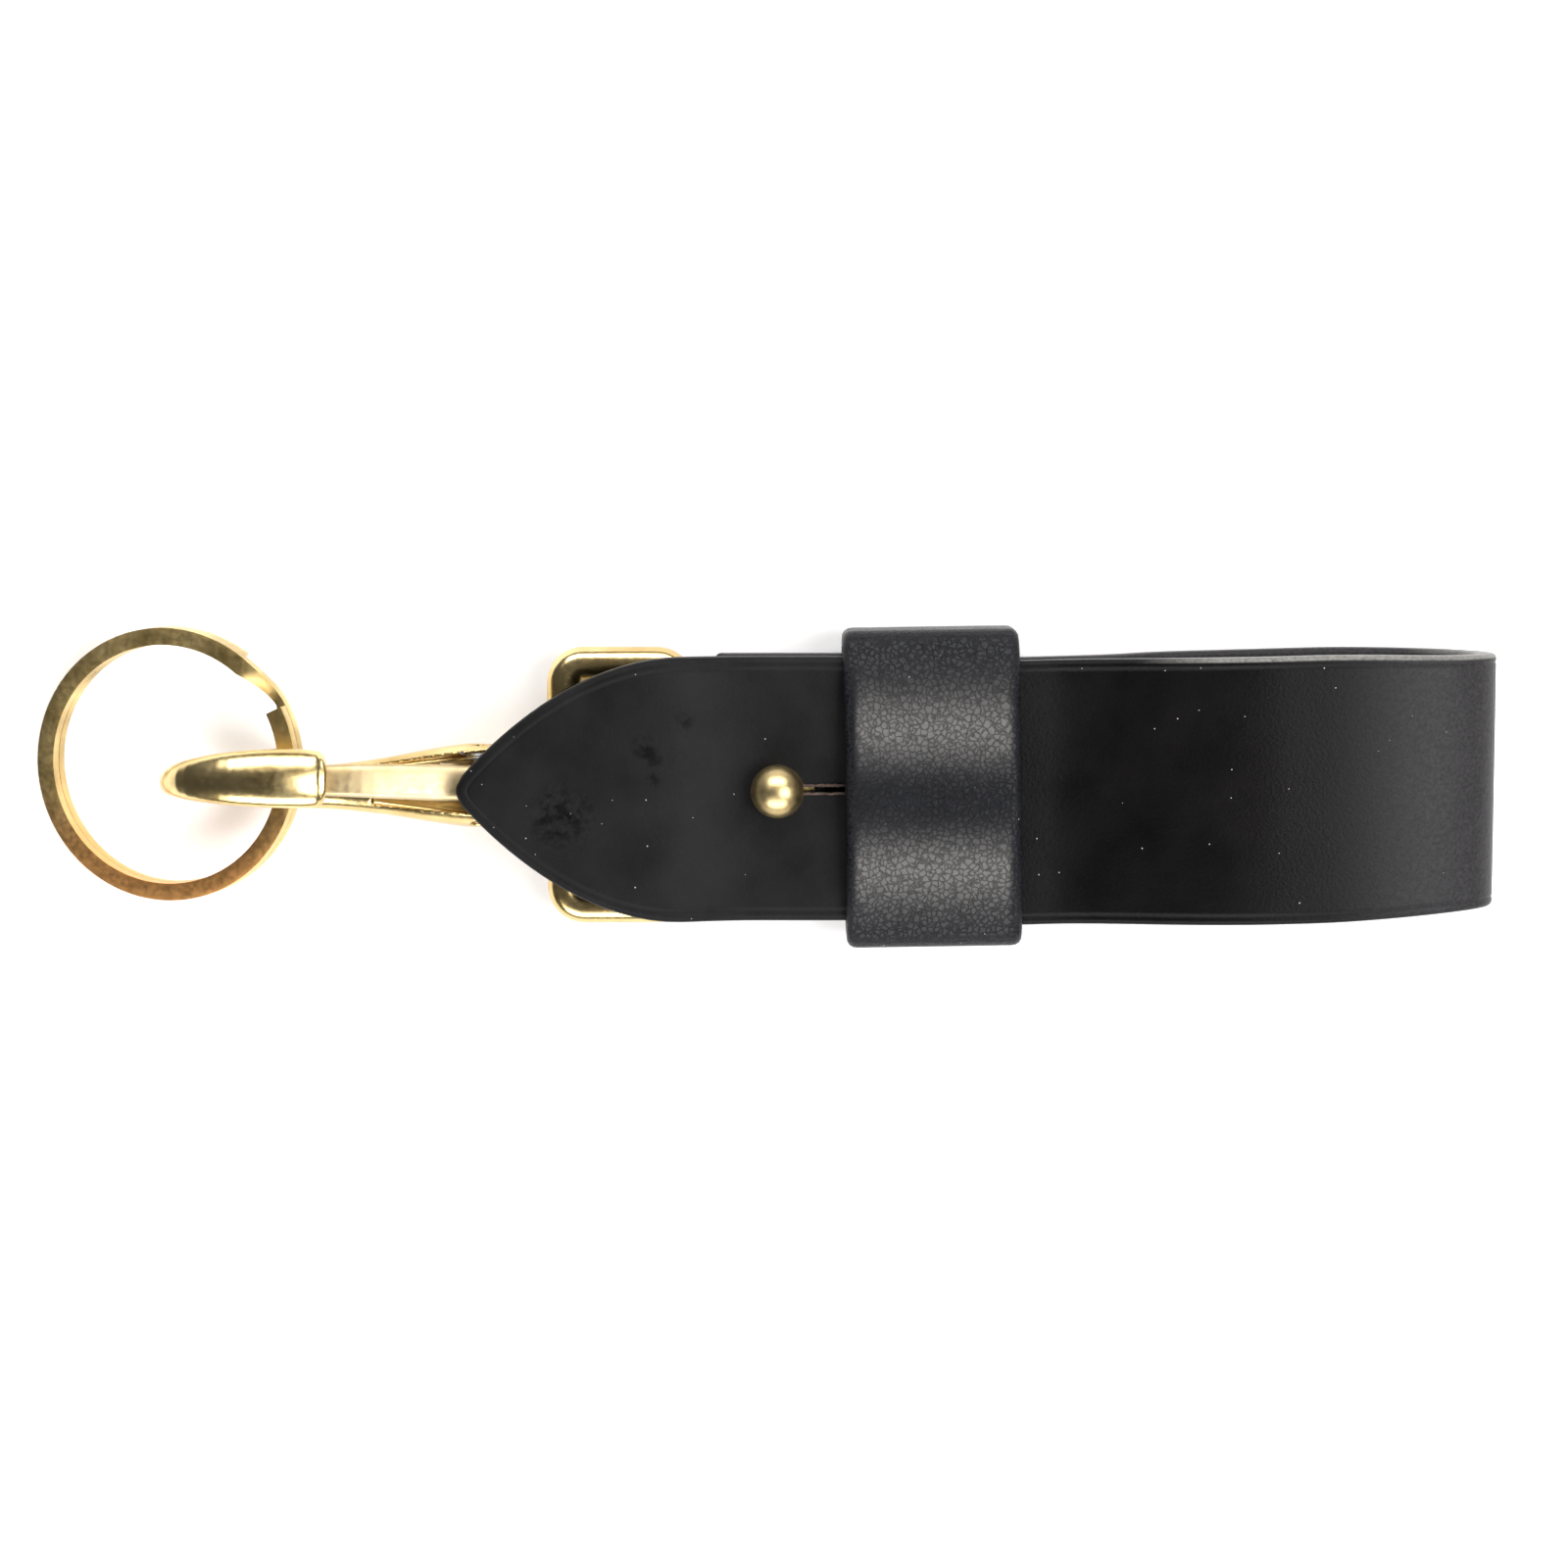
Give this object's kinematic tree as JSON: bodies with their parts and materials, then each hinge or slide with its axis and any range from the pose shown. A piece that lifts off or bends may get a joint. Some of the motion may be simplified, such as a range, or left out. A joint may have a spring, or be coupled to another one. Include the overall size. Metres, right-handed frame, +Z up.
{
  "type": "wristlet keychain",
  "caption": "Leather wrist strap folded into a loop, buttoned on a ball stud and held by a keeper, with a brass swivel snap hook and split ring for keys.",
  "frame": {"origin": "centre of the base of the keychain's box, on the surface that it lies on", "axes": "+X along the strap towards the closed end of the wrist loop, +Y across the strap, +Z up, away from the surface, on the stud's side"},
  "size_m": [0.1772, 0.0388, 0.0179],
  "materials": {
    "strap_leather": "satin bridle leather, black",
    "keeper_leather": "pebbled satin leather, blue black",
    "brass": "polished cast brass",
    "ring_brass": "plated flat wire, bright",
    "spring_steel": "drawn wire",
    "thread": "waxed linen thread, black"
  },
  "bodies": {
    "strap_body": {"strap": "strap_leather", "ball_stud": "brass", "stud_screw": "brass"},
    "tab_body": {"tab": "strap_leather"},
    "keeper_body": {"keeper": "keeper_leather", "keeper_stitch_1": "thread", "keeper_stitch_2": "thread", "keeper_stitch_3": "thread"},
    "frame_body": {"frame": "brass"},
    "hook_body": {"hook": "brass", "swivel_post": "brass", "gate_pin": "brass", "gate_spring": "spring_steel"},
    "gate_body": {"gate": "brass"},
    "ring_body": {"split_ring": "ring_brass"}
  },
  "joints": [
    {"name": "tab_lift", "type": "hinge", "parent": "strap_body", "child": "tab_body", "pos_m": [0.00845, 0, 0.0099], "axis": [0, 1, 0], "range_deg": [0, 75], "deforming": ["tab"]},
    {"name": "keeper_slide", "type": "slide", "parent": "strap_body", "child": "keeper_body", "axis": [1, 0, 0], "range_m": [-0.0036, 0.0045]},
    {"name": "frame_pivot", "type": "hinge", "parent": "strap_body", "child": "frame_body", "pos_m": [-0.01025, 0, 0.0056], "axis": [0, 1, 0], "range_deg": [-75, 0]},
    {"name": "hook_swivel", "type": "hinge", "parent": "frame_body", "child": "hook_body", "pos_m": [-0.02805, 0, 0.0056], "axis": [1, 0, 0], "continuous": true},
    {"name": "gate_open", "type": "hinge", "parent": "hook_body", "child": "gate_body", "pos_m": [-0.03425, 0.00021, 0.00678], "axis": [0, 0.9848, -0.1736], "range_deg": [-20, 0], "stiffness_Nm_per_rad": 0.02, "springref_deg": 17.19, "deforming": ["gate_spring"]},
    {"name": "ring_swing", "type": "hinge", "parent": "hook_body", "child": "ring_body", "pos_m": [-0.05688, 0, 0.00885], "axis": [0, 1, 0], "range_deg": [-76, 104]}
  ]
}
